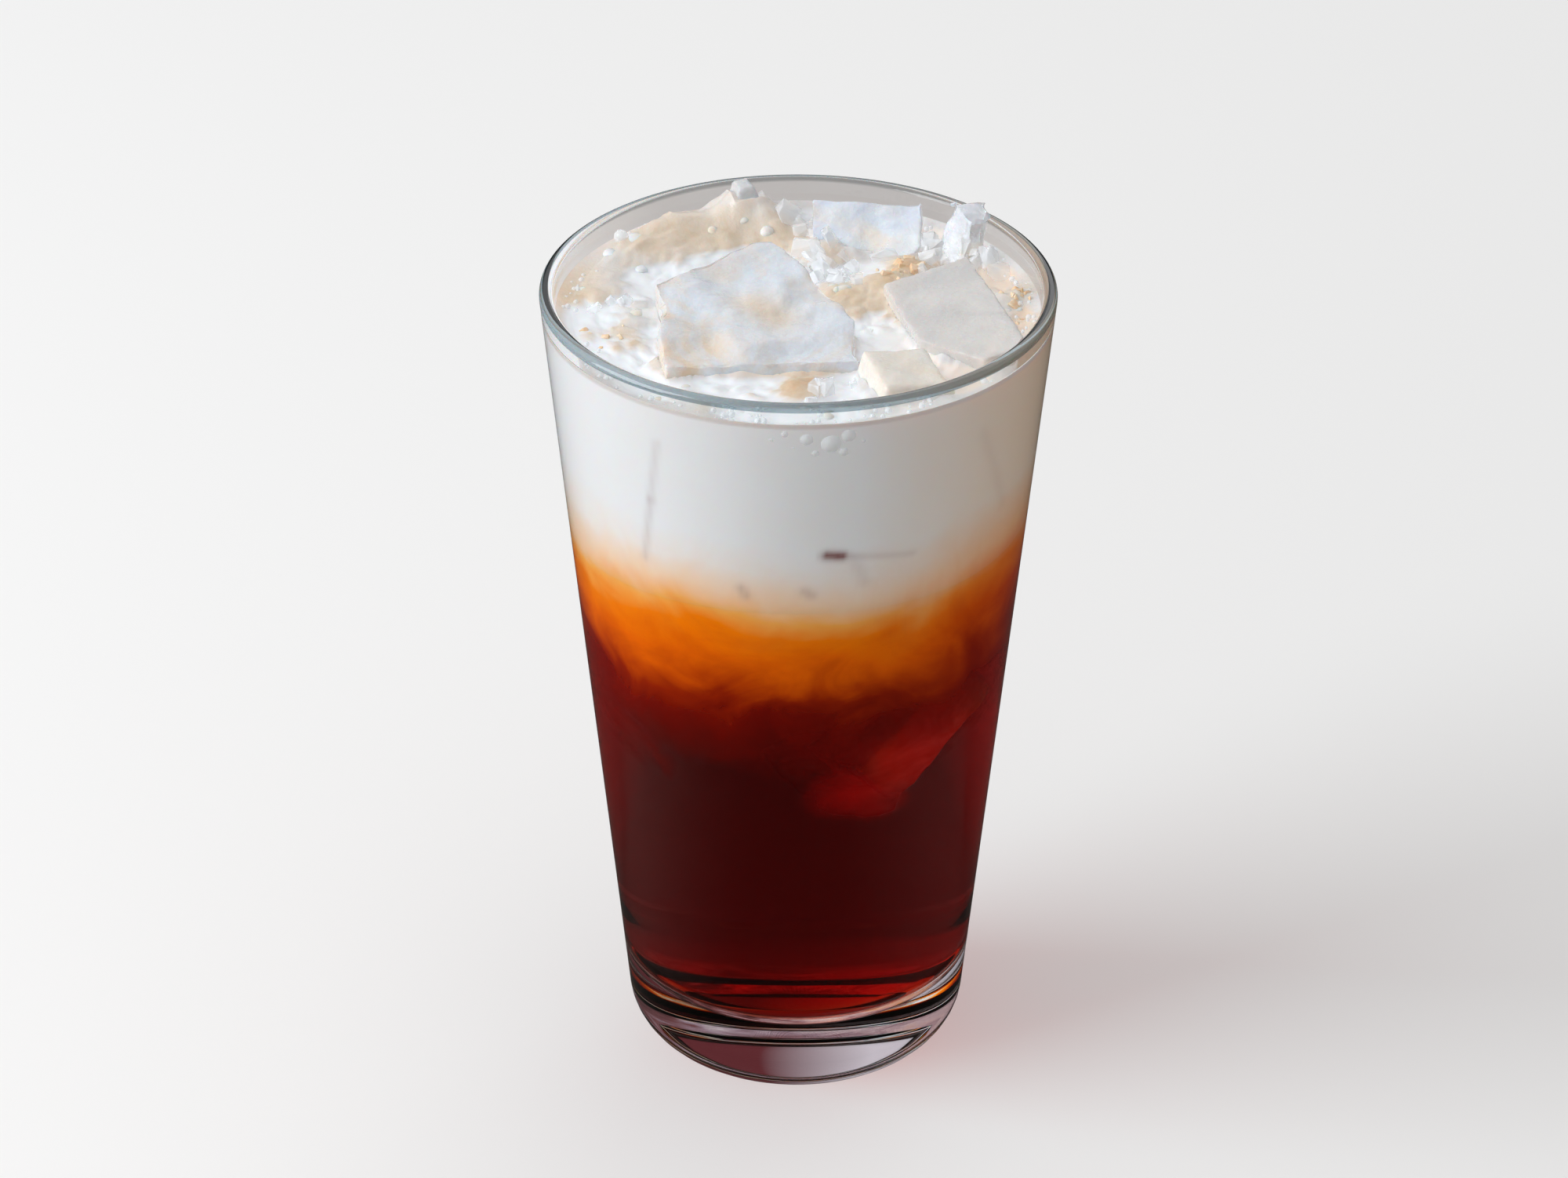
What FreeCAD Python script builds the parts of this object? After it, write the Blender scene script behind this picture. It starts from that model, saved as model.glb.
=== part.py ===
import FreeCAD, Part
import math
import os
import Sketcher

# Iced milk tea in a tapered pint glass: strong tea below, a mixed layer where milk has
# begun to sink into it, milk on top, and broken ice that pokes out of the milk.
# Millimetres. The origin is the middle of the foot on the table, +Z is up, -Y is the front.

GLASS = {
    "glass_height": 149.2,
    "rim_radius": 44.45,        # outside, at the lip
    "foot_radius": 29.2,        # outside, where the taper would meet the table
    "heel_round": 10.5,
    "lip_wall": 2.4,
    "lip_round": 1.1,
    "floor_height": 19.4,       # a heavy solid foot
    "floor_wall": 4.4,
    "floor_round": 6.0,
    "punt_radius": 15.0,
    "punt_depth": 1.4,
    "punt_round": 0.8,
}

DRINK = {
    "headroom": 5.0,            # from the lip down to the flat of the milk
    "meniscus_rise": 0.8,
    "meniscus_reach": 2.6,
    "milk_depth": 38.0,
    "milk_lean": 1.5,           # how much higher the milk's underside is at the right
    "milk_ripple": 0.8,
    "mix_depth": 15.6,
    "mix_lean": 6.0,
    "mix_ripple": 1.3,
    "ice_clearance": 0.6,       # the film of milk between ice and glass
}

# Ice. across and back place the middle of a piece's top as shares of the drink's radius,
# lift is that point's height above the milk, and long, deep and tall are its edges. The
# sides spread by draft degrees towards the bottom. cut_x and cut_y break off the upright
# corner that corner_x and corner_y point at.
ICE = {
    "front_left": {
        "across": -0.182, "back": -0.156, "lift": 5.8,
        "long": 34.0, "deep": 38.0, "tall": 27.0, "draft": 1.0,
        "yaw": 5.0, "pitch": 0.0, "roll": 8.0, "melt": 1.3,
        "breaks": [(-1, 1, 18.0, 12.0), (1, 1, 12.0, 26.0)],
    },
    "right": {
        "across": 0.638, "back": -0.2, "lift": 4.2,
        "long": 16.5, "deep": 30.0, "tall": 21.0, "draft": 1.5,
        "yaw": 18.0, "pitch": -11.0, "roll": 6.0, "melt": 1.0,
        "breaks": [(-1, -1, 8.0, 11.0)],
    },
    "back_middle": {
        "across": 0.282, "back": 0.58, "lift": 2.9,
        "long": 20.0, "deep": 14.5, "tall": 15.0, "draft": 2.0,
        "yaw": -3.0, "pitch": 0.0, "roll": 35.0, "melt": 0.9,
        "breaks": [(1, -1, 4.0, 5.0)],
    },
    "back_left": {
        "across": -0.236, "back": 0.845, "lift": 7.6,
        "long": 3.0, "deep": 4.2, "tall": 20.0, "draft": 15.0,
        "yaw": 20.0, "pitch": -6.0, "roll": 4.0, "melt": 0.8,
        "breaks": [],
    },
    "back_right": {
        "across": 0.748, "back": 0.53, "lift": 9.2,
        "long": 7.0, "deep": 7.5, "tall": 19.0, "draft": 6.5,
        "yaw": 22.0, "pitch": 4.0, "roll": 6.0, "melt": 0.6,
        "breaks": [(1, -1, 2.4, 3.0)],
    },
    "front_right": {
        "across": 0.44, "back": -0.63, "lift": 3.3,
        "long": 12.5, "deep": 13.0, "tall": 16.0, "draft": 4.0,
        "yaw": 22.0, "pitch": 8.0, "roll": 8.0, "melt": 3.8,
        "breaks": [],
    },
}

# Derived sizes, as expressions over the sheet.
LEVEL = "(Sizes.glass_height - Sizes.headroom)"
CONTACT = f"({LEVEL} + Sizes.meniscus_rise)"
LIP_BORE = "(Sizes.rim_radius - Sizes.lip_wall)"
FLOOR_OUTSIDE = (
    "(Sizes.foot_radius + (Sizes.rim_radius - Sizes.foot_radius)"
    " * Sizes.floor_height / Sizes.glass_height)"
)
FLOOR_BORE = f"({FLOOR_OUTSIDE} - Sizes.floor_wall)"
WAVE_POINTS = 9                 # along each side of a layer's surface


def bore_at(height):
    """Inside radius of the glass at a height, as an expression."""
    run = f"({height} - Sizes.floor_height) / (Sizes.glass_height - Sizes.floor_height)"
    return f"({FLOOR_BORE} + ({LIP_BORE} - {FLOOR_BORE}) * {run})"


def make_sheet(doc):
    """The spreadsheet of driving sizes, one named cell each."""
    values = {**GLASS, **DRINK}
    for name, piece in ICE.items():
        values.update({f"{name}_{key}": v for key, v in piece.items() if key != "breaks"})
        for number, (_, _, cut_x, cut_y) in enumerate(piece["breaks"], start=1):
            values[f"{name}_cut_x_{number}"] = cut_x
            values[f"{name}_cut_y_{number}"] = cut_y
    sheet = doc.addObject("Spreadsheet::Sheet", "Sizes")
    for row, (alias, value) in enumerate(values.items(), start=1):
        sheet.set(f"A{row}", alias)
        sheet.set(f"B{row}", str(value))
        sheet.setAlias(f"B{row}", alias)
    doc.recompute()
    return sheet


def sketch_on(body, role, name):
    """A sketch on one of the body's own origin planes."""
    sketch = body.newObject("Sketcher::SketchObject", name)
    plane = next(item for item in body.Origin.OriginFeatures if item.Role == role)
    sketch.AttachmentSupport = (plane, [""])
    sketch.MapMode = "FlatFace"
    return sketch


def bind_point(sketch, sheet, edge, end, radius, height):
    """Tie a sketch point to a radius and a height, either of which may be zero."""
    for kind, axis, expression in (("DistanceX", -2, radius), ("DistanceY", -1, height)):
        if expression == "0":
            sketch.addConstraint(Sketcher.Constraint("PointOnObject", edge, end, axis))
            continue
        value = sheet.evalExpression(expression)
        index = sketch.addConstraint(Sketcher.Constraint(kind, -1, 1, edge, end, value))
        sketch.setExpression(f"Constraints[{index}]", expression)


def plumb_arc(start, end):
    """The arc from start to end whose centre is straight above or below start."""
    rise = end.y - start.y
    radius = ((end.x - start.x) ** 2 + rise ** 2) / (2 * abs(rise))
    centre = start + FreeCAD.Vector(0, math.copysign(radius, rise), 0)
    angles = [math.atan2(p.y - centre.y, p.x - centre.x) for p in (start, end)]
    if rise < 0:
        angles.reverse()
    circle = Part.Circle(centre, FreeCAD.Vector(0, 0, 1), radius)
    return Part.ArcOfCircle(circle, *angles), rise > 0


def outline(body, sheet, name, corners, arc_after=None):
    """A closed half outline: (radius, height) corners, one side of it may be a plumb arc."""
    sketch = sketch_on(body, "XZ_Plane", name)
    values = [[sheet.evalExpression(part) for part in corner] for corner in corners]
    points = [FreeCAD.Vector(radius, height, 0) for radius, height in values]
    ends = []
    for index, start in enumerate(points):
        end = points[(index + 1) % len(points)]
        if index == arc_after:
            curve, forward = plumb_arc(start, end)
            sketch.addGeometry(curve)
            ends.append((1, 2) if forward else (2, 1))
        else:
            sketch.addGeometry(Part.LineSegment(start, end))
            ends.append((1, 2))
    for index in range(len(points)):
        after = (index + 1) % len(points)
        joint = (index, ends[index][1], after, ends[after][0])
        sketch.addConstraint(Sketcher.Constraint("Coincident", *joint))
    for index, (radius, height) in enumerate(corners):
        bind_point(sketch, sheet, index, ends[index][0], radius, height)
    if arc_after is not None:
        plumb = (arc_after, 3, arc_after, ends[arc_after][0])
        sketch.addConstraint(Sketcher.Constraint("Vertical", *plumb))
    return sketch


def turned(body, kind, name, sketch):
    """A full turn of the sketch about the glass's axis, added or cut away."""
    feature = body.newObject(f"PartDesign::{kind}", name)
    feature.Profile = sketch
    feature.ReferenceAxis = (sketch, ["V_Axis"])
    feature.Angle = 360
    body.Document.recompute()
    return feature


def ring_at(shape, radius, height):
    """The name of the circular edge about the axis with this radius and height."""
    for number, edge in enumerate(shape.Edges, start=1):
        if edge.Degenerated or edge.Curve.TypeId != "Part::GeomCircle":
            continue
        centre = edge.Curve.Center
        if abs(edge.Curve.Radius - radius) < 1e-4 and abs(centre.z - height) < 1e-4:
            return f"Edge{number}"
    raise ValueError(f"no ring of radius {radius} at height {height}")


def rounded(body, sheet, name, base, rings, radius):
    """Round the rings, each given as (radius, height) expressions."""
    places = [[sheet.evalExpression(part) for part in ring] for ring in rings]
    fillet = body.newObject("PartDesign::Fillet", name)
    fillet.Base = (base, [ring_at(base.Shape, *place) for place in places])
    fillet.setExpression("Radius", radius)
    body.Document.recompute()
    return fillet


def make_glass(doc, sheet):
    """The tapered glass: a turned blank, its bore, a punt under the foot, soft edges."""
    body = doc.addObject("PartDesign::Body", "Glass")
    body.Label = "glass"
    top = "Sizes.glass_height"
    blank = outline(body, sheet, "BlankOutline", [
        ("0", "0"), ("Sizes.foot_radius", "0"), ("Sizes.rim_radius", top), ("0", top)])
    turned(body, "Revolution", "Blank", blank)
    bore = outline(body, sheet, "BoreOutline", [
        ("0", "Sizes.floor_height"), (FLOOR_BORE, "Sizes.floor_height"),
        (LIP_BORE, top), ("0", top)])
    turned(body, "Groove", "Bore", bore)
    punt = outline(body, sheet, "PuntOutline", [
        ("0", "0"), ("0", "Sizes.punt_depth"), ("Sizes.punt_radius", "0")], arc_after=1)
    hollow = turned(body, "Groove", "Punt", punt)
    heel = rounded(body, sheet, "Heel", hollow, [("Sizes.foot_radius", "0")],
                   "Sizes.heel_round")
    floor = rounded(body, sheet, "FloorCorner", heel, [(FLOOR_BORE, "Sizes.floor_height")],
                    "Sizes.floor_round")
    ledge = rounded(body, sheet, "PuntEdge", floor, [("Sizes.punt_radius", "0")],
                    "Sizes.punt_round")
    rounded(body, sheet, "Lip", ledge, [("Sizes.rim_radius", top), (LIP_BORE, top)],
            "Sizes.lip_round")
    return body


def make_fill(doc, sheet):
    """All that is in the glass, to the milk's level, with the meniscus at the wall."""
    body = doc.addObject("PartDesign::Body", "Fill")
    flat_reach = f"({bore_at(CONTACT)} - Sizes.meniscus_reach)"
    whole = outline(body, sheet, "FillOutline", [
        ("0", "Sizes.floor_height"), (FLOOR_BORE, "Sizes.floor_height"),
        (bore_at(CONTACT), CONTACT), ("0", CONTACT)])
    block = turned(body, "Revolution", "Whole", whole)
    rounded(body, sheet, "Corner", block, [(FLOOR_BORE, "Sizes.floor_height")],
            "Sizes.floor_round")
    dish = outline(body, sheet, "DishOutline", [
        ("0", LEVEL), (flat_reach, LEVEL), (bore_at(CONTACT), CONTACT), ("0", CONTACT)],
        arc_after=1)
    turned(body, "Groove", "Meniscus", dish)
    return body


def make_room(doc, sheet):
    """The space that ice may fill: the bore less a clearance, carried on above the lip."""
    body = doc.addObject("PartDesign::Body", "Room")
    low = "(Sizes.floor_height + Sizes.ice_clearance)"
    high = "(1.5 * Sizes.glass_height)"
    space = outline(body, sheet, "RoomOutline", [
        ("0", low), (f"({bore_at(low)} - Sizes.ice_clearance)", low),
        (f"({bore_at(high)} - Sizes.ice_clearance)", high), ("0", high)])
    turned(body, "Revolution", "Space", space)
    return body


def wave_height(x, y, reach, middle, lean, ripple):
    """A layer's height at a point: it leans up to the right and ripples near the wall."""
    share = math.hypot(x, y) / reach
    angle = math.atan2(x, -y)
    return middle + lean * x / reach + ripple * share ** 2 * math.cos(3 * angle + 0.6)


def make_below(doc, name, sheet, middle, layer):
    """A solid from under the glass up to a layer's gently waving underside."""
    lean = sheet.get(f"{layer}_lean")
    ripple = sheet.get(f"{layer}_ripple")
    reach = sheet.get("rim_radius")
    steps = [reach * (2 * i / (WAVE_POINTS - 1) - 1) * 1.1 for i in range(WAVE_POINTS)]
    grid = [[FreeCAD.Vector(x, y, wave_height(x, y, reach, middle, lean, ripple))
             for y in steps] for x in steps]
    surface = Part.BSplineSurface()
    surface.interpolate(grid)
    solid = surface.toShape().extrude(FreeCAD.Vector(0, 0, -2 * middle))
    feature = doc.addObject("Part::Feature", name)
    feature.Shape = solid
    return feature


def corner_edge(shape, side_x, side_y):
    """The upright edge at one corner of a block, and whether its first side faces x."""
    upright = []
    for number, edge in enumerate(shape.Edges, start=1):
        low, high = sorted((vertex.Point for vertex in edge.Vertexes), key=lambda p: p.z)
        if high.z - low.z > 0.5 * shape.BoundBox.ZLength:
            upright.append((side_x * low.x + side_y * low.y, number))
    number = max(upright)[1]
    edge = shape.Edges[number - 1]
    side = next(face for face in shape.Faces if any(edge.isSame(e) for e in face.Edges))
    normal = side.normalAt(0.5, 0.5)
    return f"Edge{number}", abs(normal.x) > abs(normal.y)


def rectangle(sketch, long, deep, wide_expression, deep_expression):
    """A rectangle about the sketch's origin, its two sides bound to the sheet."""
    corners = [FreeCAD.Vector(sx * long / 2, sy * deep / 2, 0)
               for sx, sy in ((-1, -1), (1, -1), (1, 1), (-1, 1))]
    for index in range(4):
        sketch.addGeometry(Part.LineSegment(corners[index], corners[(index + 1) % 4]))
    for index in range(4):
        joint = (index, 2, (index + 1) % 4, 1)
        sketch.addConstraint(Sketcher.Constraint("Coincident", *joint))
        direction = "Vertical" if index % 2 else "Horizontal"
        sketch.addConstraint(Sketcher.Constraint(direction, index))
    sketch.addConstraint(Sketcher.Constraint("Symmetric", 0, 1, 2, 1, -1, 1))
    width = sketch.addConstraint(Sketcher.Constraint("DistanceX", 0, 1, 0, 2, long))
    sketch.setExpression(f"Constraints[{width}]", wide_expression)
    depth = sketch.addConstraint(Sketcher.Constraint("DistanceY", 1, 1, 1, 2, deep))
    sketch.setExpression(f"Constraints[{depth}]", deep_expression)


def make_block(doc, sheet, name, piece):
    """One piece of ice, drafted like the tray it came from, with broken, melted edges."""
    body = doc.addObject("PartDesign::Body", f"Block_{name}")
    sketch = sketch_on(body, "XY_Plane", f"Top_{name}")
    rectangle(sketch, piece["long"], piece["deep"], f"Sizes.{name}_long",
              f"Sizes.{name}_deep")
    block = body.newObject("PartDesign::Pad", f"Cast_{name}")
    block.Profile = sketch
    block.Reversed = True
    block.setExpression("Length", f"Sizes.{name}_tall")
    block.setExpression("TaperAngle", f"Sizes.{name}_draft")
    doc.recompute()
    for number, (side_x, side_y, _, _) in enumerate(piece["breaks"], start=1):
        edge, faces_x = corner_edge(block.Shape, side_x, side_y)
        first, second = ("y", "x") if faces_x else ("x", "y")
        chip = body.newObject("PartDesign::Chamfer", f"Break_{name}_{number}")
        chip.Base = (block, [edge])
        chip.ChamferType = "Two distances"
        chip.setExpression("Size", f"Sizes.{name}_cut_{first}_{number}")
        chip.setExpression("Size2", f"Sizes.{name}_cut_{second}_{number}")
        doc.recompute()
        block = chip
    melted = body.newObject("PartDesign::Fillet", f"Melt_{name}")
    melted.Base = (block, [""])
    melted.UseAllEdges = True
    melted.setExpression("Radius", f"Sizes.{name}_melt")
    spot = (
        f"create(<<vector>>; Sizes.{name}_across * {bore_at(LEVEL)};"
        f" Sizes.{name}_back * {bore_at(LEVEL)}; {LEVEL} + Sizes.{name}_lift)"
    )
    turn = f"Sizes.{name}_yaw; Sizes.{name}_pitch; Sizes.{name}_roll"
    placement = f"create(<<placement>>; {spot}; create(<<rotation>>; {turn}))"
    body.setExpression("Placement", placement)
    doc.recompute()
    return body


def boolean(doc, kind, name, base, tool):
    """A two-piece boolean: Common or Cut."""
    feature = doc.addObject(f"Part::{kind}", name)
    feature.Base = base
    feature.Tool = tool
    return feature


def make_ice(doc, sheet, room):
    """Every piece of ice, kept inside the glass and clear of the pieces before it."""
    pieces = []
    for name, piece in ICE.items():
        block = make_block(doc, sheet, name, piece)
        ice = boolean(doc, "Common", f"Inside_{name}", block, room)
        for earlier in list(pieces):
            ice = boolean(doc, "Cut", f"{name}_beside_{len(pieces)}", ice, earlier)
        ice.Label = f"ice_{name}"
        pieces.append(ice)
    doc.recompute()
    return pieces


def make_layers(doc, sheet, fill, ice):
    """The drink in three layers that meet face to face, the top one cut round the ice."""
    milk_floor = sheet.evalExpression(f"{LEVEL} - Sizes.milk_depth")
    mix_floor = milk_floor - sheet.get("mix_depth")
    under_mix = make_below(doc, "UnderMix", sheet, mix_floor, "mix")
    under_milk = make_below(doc, "UnderMilk", sheet, milk_floor, "milk")
    tea = boolean(doc, "Common", "Tea", fill, under_mix)
    tea.Label = "tea"
    lower_two = boolean(doc, "Common", "LowerTwo", fill, under_milk)
    mix = boolean(doc, "Cut", "Mix", lower_two, under_mix)
    mix.Label = "tea_milk_mix"
    upper = boolean(doc, "Cut", "Upper", fill, under_milk)
    pile = doc.addObject("Part::MultiFuse", "Pile")
    pile.Shapes = ice
    milk = boolean(doc, "Cut", "Milk", upper, pile)
    milk.Label = "milk"
    doc.recompute()
    return [tea, mix, milk]


def check(doc, nodes):
    """Stop on any failed object, and on a node that is not one sound solid."""
    for item in doc.Objects:
        if "Invalid" in item.State or "Error" in item.State:
            raise RuntimeError(f"{item.Name} failed: {item.State}")
    for node in nodes:
        shape = node.Shape
        if shape.isNull() or not shape.isValid() or len(shape.Solids) != 1:
            raise RuntimeError(f"{node.Label} is not one sound solid")


def main():
    doc = FreeCAD.newDocument("IcedTea")
    sheet = make_sheet(doc)
    glass = make_glass(doc, sheet)
    fill = make_fill(doc, sheet)
    room = make_room(doc, sheet)
    ice = make_ice(doc, sheet, room)
    nodes = [glass] + make_layers(doc, sheet, fill, ice) + ice
    check(doc, nodes)
    os.makedirs("parts", exist_ok=True)
    for node in nodes:
        node.Shape.exportStep(f"parts/{node.Label}.step")
        print(f"{node.Label:18s} {node.Shape.Volume / 1000:8.2f} cm3")


main()
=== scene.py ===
# %% [markdown]
# # Iced milk tea in a tapered glass
# The drink is built up as it is poured: a thick glass, strong red tea, a cloud where the
# two mix, white milk with a rough top, and blocks of ice that float in it.
# The packed solids give every place and size, so the pieces below only refine them.

# %% Load the frame and keep its box
import math
import random

import bmesh
import bpy
from mathutils import Matrix, Vector, noise
from mathutils.bvhtree import BVHTree


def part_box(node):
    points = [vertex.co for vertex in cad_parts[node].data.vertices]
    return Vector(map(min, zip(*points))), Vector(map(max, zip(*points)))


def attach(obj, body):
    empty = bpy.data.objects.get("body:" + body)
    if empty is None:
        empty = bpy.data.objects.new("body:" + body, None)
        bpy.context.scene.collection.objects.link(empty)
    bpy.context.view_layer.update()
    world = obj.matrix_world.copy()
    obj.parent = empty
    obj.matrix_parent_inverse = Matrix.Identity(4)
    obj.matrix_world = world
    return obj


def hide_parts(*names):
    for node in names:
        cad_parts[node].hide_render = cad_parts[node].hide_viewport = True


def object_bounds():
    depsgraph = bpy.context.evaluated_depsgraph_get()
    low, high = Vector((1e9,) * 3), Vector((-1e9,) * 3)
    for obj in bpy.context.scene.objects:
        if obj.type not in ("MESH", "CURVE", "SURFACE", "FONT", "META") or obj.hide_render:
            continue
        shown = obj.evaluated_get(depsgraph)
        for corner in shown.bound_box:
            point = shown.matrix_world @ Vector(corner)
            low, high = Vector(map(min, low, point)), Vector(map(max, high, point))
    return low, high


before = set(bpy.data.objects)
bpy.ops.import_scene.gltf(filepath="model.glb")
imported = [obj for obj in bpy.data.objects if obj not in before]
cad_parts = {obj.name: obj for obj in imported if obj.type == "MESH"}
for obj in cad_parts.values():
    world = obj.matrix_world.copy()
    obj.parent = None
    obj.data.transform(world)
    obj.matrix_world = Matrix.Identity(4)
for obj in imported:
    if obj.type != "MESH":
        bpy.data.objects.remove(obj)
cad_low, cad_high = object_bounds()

print("CAD box", [round(v, 4) for v in cad_low], [round(v, 4) for v in cad_high])

# %% [markdown]
# ## Sizes
# A tapered glass is two straight lines turned about its axis, so a few radii and heights
# fix all that is poured in. They are the sizes of the solids, in metres.
# The floor inside is the exception. Thick glass and tea bend the view of it, and at the
# solid's height, 19.4 mm, it looked too high, so it is drawn 3.8 mm lower. The bore keeps
# the solid's own line, which starts at BORE_FOOT.

# %% Name the sizes
MM = 0.001
GLASS_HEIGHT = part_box("glass")[1].z
FOOT_RADIUS = 29.2 * MM
RIM_RADIUS = 44.45 * MM
LIP_WALL = 2.4 * MM
LIP_ROUND = 1.1 * MM
FLOOR_WALL = 4.4 * MM
FLOOR_HEIGHT = 15.6 * MM
FLOOR_ROUND = 6 * MM
BORE_FOOT = 19.4 * MM
HEEL_ROUND = 10.5 * MM
PUNT_RADIUS = 15 * MM
PUNT_DEPTH = 1.4 * MM
PUNT_ROUND = 0.8 * MM
LEVEL = GLASS_HEIGHT - 5 * MM
CONTACT = LEVEL + 0.8 * MM
MENISCUS_REACH = 2.6 * MM
MILK_UNDERSIDE = LEVEL - 38 * MM
MIX_UNDERSIDE = MILK_UNDERSIDE - 15.6 * MM
CLOUD_UNDERSIDE = MIX_UNDERSIDE - 26 * MM
TEA_TOP = MILK_UNDERSIDE + 5 * MM
INTO_WALL = 0.15 * MM
WALL_TOUCH = INTO_WALL + 0.05 * MM
ROUND_STEPS = 256


def shell(height):
    """Outside radius of the straight wall at this height."""
    return FOOT_RADIUS + (RIM_RADIUS - FOOT_RADIUS) * height / GLASS_HEIGHT


def bore(height):
    """Inside radius of the glass at this height."""
    low = shell(BORE_FOOT) - FLOOR_WALL
    high = RIM_RADIUS - LIP_WALL
    share = (height - BORE_FOOT) / (GLASS_HEIGHT - BORE_FOOT)
    return low + (high - low) * share


print("glass", round(GLASS_HEIGHT / MM, 2), "mm high, bore at the level",
      round(bore(LEVEL) / MM, 2), "mm")

# %% [markdown]
# ## Turning a section
# A glass could be a cylinder that is scaled and thickened, but its foot, heel and lip all
# differ, so it is turned, as on a lathe. Half of its section is filled as a flat face.
# Bevelling single corners of that face rounds them, then the face is taken away and its
# edge is spun about the axis.

# %% Turn a section with rounded corners


def rounding(corners, at, radius):
    """The cut-back along the edges that gives this radius at one corner."""
    here = Vector(corners[at])
    one = (Vector(corners[at - 1]) - here).normalized()
    two = (Vector(corners[(at + 1) % len(corners)]) - here).normalized()
    return radius / math.tan(one.angle(two) / 2)


def turned(corners, rounds):
    """Spin a half section, given as (radius, height) corners, with rounded corners."""
    bm = bmesh.new()
    points = [bm.verts.new((radius, 0, height)) for radius, height in corners]
    bm.faces.new(points)
    for at, radius in rounds.items():
        bmesh.ops.bevel(bm, geom=[points[at]], offset=rounding(corners, at, radius),
                        offset_type="OFFSET", segments=10, profile=0.5,
                        affect="VERTICES", material=-1)
    bmesh.ops.delete(bm, geom=bm.faces[:], context="FACES_ONLY")
    axis = [e for e in bm.edges if all(abs(v.co.x) < 1e-7 for v in e.verts)]
    bmesh.ops.delete(bm, geom=axis, context="EDGES")
    bmesh.ops.spin(bm, geom=bm.verts[:] + bm.edges[:], cent=(0, 0, 0), axis=(0, 0, 1),
                   angle=math.tau, steps=ROUND_STEPS, use_merge=True)
    bmesh.ops.remove_doubles(bm, verts=bm.verts[:], dist=1e-6)
    bmesh.ops.recalc_face_normals(bm, faces=bm.faces[:])
    return bm


print("a square corner rounded to 5 is cut back by",
      round(rounding([(0, 0), (9, 0), (9, 9)], 1, 5), 2))

# %% [markdown]
# ## Finishing a piece
# Every piece is stored the same way: its mesh holds its place, and its object stays at
# the origin. It rides with the drink, and where it stands for a packed solid it hides it.
# Shading is smooth, and edges sharper than 40 degrees stay crisp.

# %% Store a piece and tie it to the drink
CRISP = math.radians(40)


def finished(bm, name, material, nodes=(), smooth=True):
    """Make the mesh a piece that rides with the drink and stands for its solids."""
    mesh = bpy.data.meshes.new(name)
    bm.to_mesh(mesh)
    bm.free()
    for face in mesh.polygons:
        face.use_smooth = smooth
    mesh.set_sharp_from_angle(angle=CRISP)
    for each in material if isinstance(material, list) else [material]:
        mesh.materials.append(each)
    piece = bpy.data.objects.new(name, mesh)
    bpy.context.scene.collection.objects.link(piece)
    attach(piece, "root")
    if nodes:
        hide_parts(*nodes)
    print(name, len(mesh.polygons), "faces")


print("edges over", round(math.degrees(CRISP)), "degrees stay crisp")

# %% [markdown]
# ## Writing a finish as nodes
# Each finish is a small tree of nodes, because colours worked out from a point's place
# need no image files and never stretch. These helpers add a node or join two, so that
# the cells below read as a list of what a finish is made of.

# %% Helpers for finishes


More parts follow.
